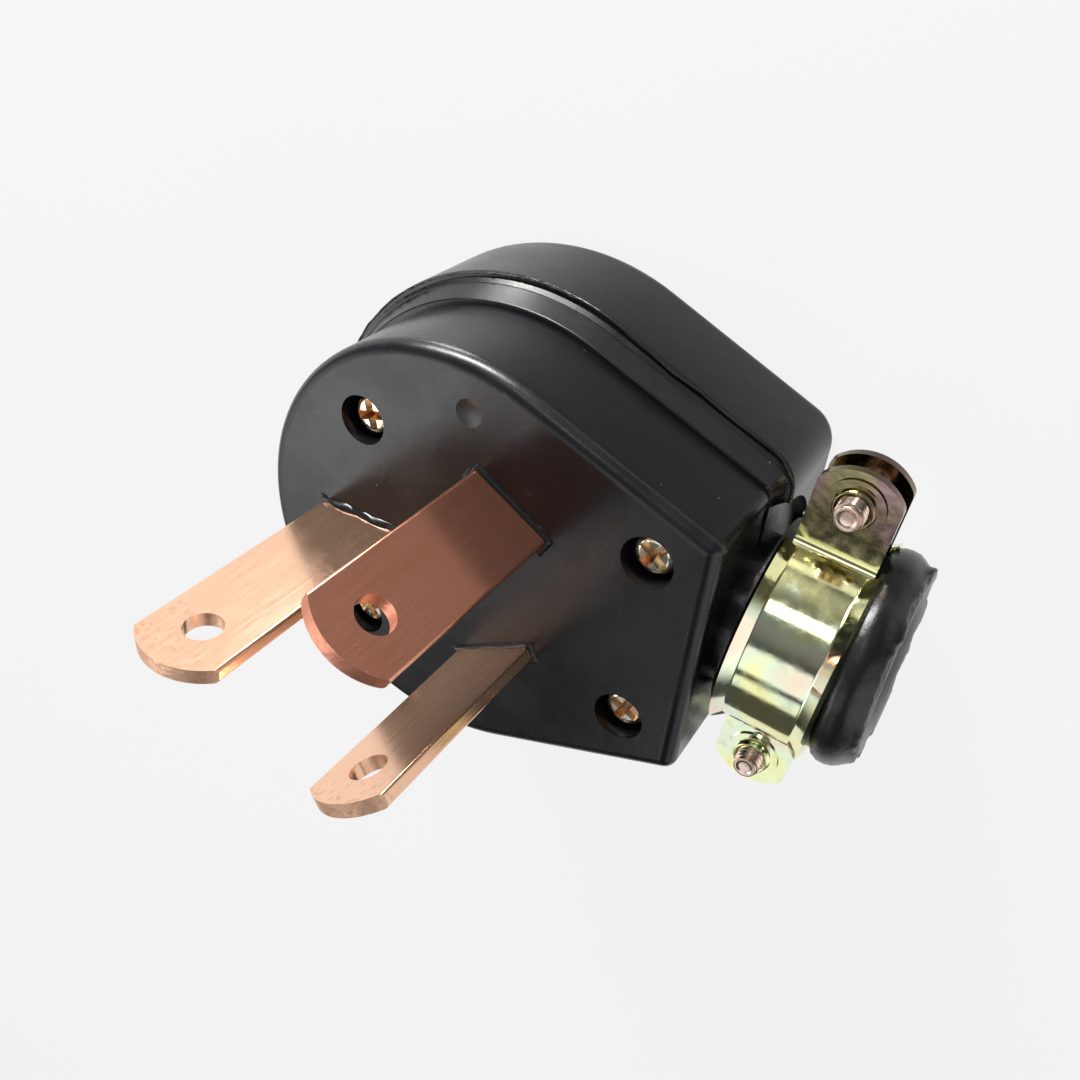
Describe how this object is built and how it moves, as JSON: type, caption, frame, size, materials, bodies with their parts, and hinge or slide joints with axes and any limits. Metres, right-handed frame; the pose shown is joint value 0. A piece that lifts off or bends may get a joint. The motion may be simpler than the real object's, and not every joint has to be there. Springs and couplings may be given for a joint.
{
  "type": "three-blade power plug",
  "caption": "Crow's-foot power plug with flat copper blades, a screwed two-part black housing and a side cable outlet with a rubber bush and cord clamp.",
  "frame": {"origin": "on the flat back of the cover, below the centre of the body's round end", "axes": "+Z along the blades, out of the socket face; +X along the cable, out of the bush; +Y to the left blade's side"},
  "size_m": [0.0919, 0.0674, 0.0731],
  "materials": {
    "moulding": "black thermoset moulding, satin gloss with fine flow marks",
    "bush_rubber": "black rubber, satin",
    "copper": "bare copper, lightly brushed, dulled near the roots",
    "brass_screws": "plated brass colour, bright",
    "clamp_zinc": "yellow passivated zinc, mirror bright with coloured bands",
    "bolt_zinc": "yellow passivated zinc on threads, copper-pink end faces"
  },
  "bodies": {
    "root": {"front_body": "moulding", "back_cover": "moulding", "cable_bush": "bush_rubber", "neutral_blade": "copper", "neutral_terminal_screw": "brass_screws", "neutral_wire_plate": "brass_screws", "left_hot_blade": "copper", "left_hot_terminal_screw": "brass_screws", "left_hot_wire_plate": "brass_screws", "right_hot_blade": "copper", "right_hot_terminal_screw": "brass_screws", "right_hot_wire_plate": "brass_screws", "cover_screw_1": "brass_screws", "cover_insert_1": "brass_screws", "cover_screw_2": "brass_screws", "cover_insert_2": "brass_screws", "cover_screw_3": "brass_screws", "cover_insert_3": "brass_screws", "cover_screw_4": "brass_screws", "cover_insert_4": "brass_screws", "clamp_front_half": "clamp_zinc", "clamp_rear_half": "clamp_zinc", "left_clamp_bolt": "bolt_zinc", "left_spring_washer": "bolt_zinc", "right_clamp_bolt": "bolt_zinc", "right_spring_washer": "bolt_zinc"}
  },
  "joints": []
}
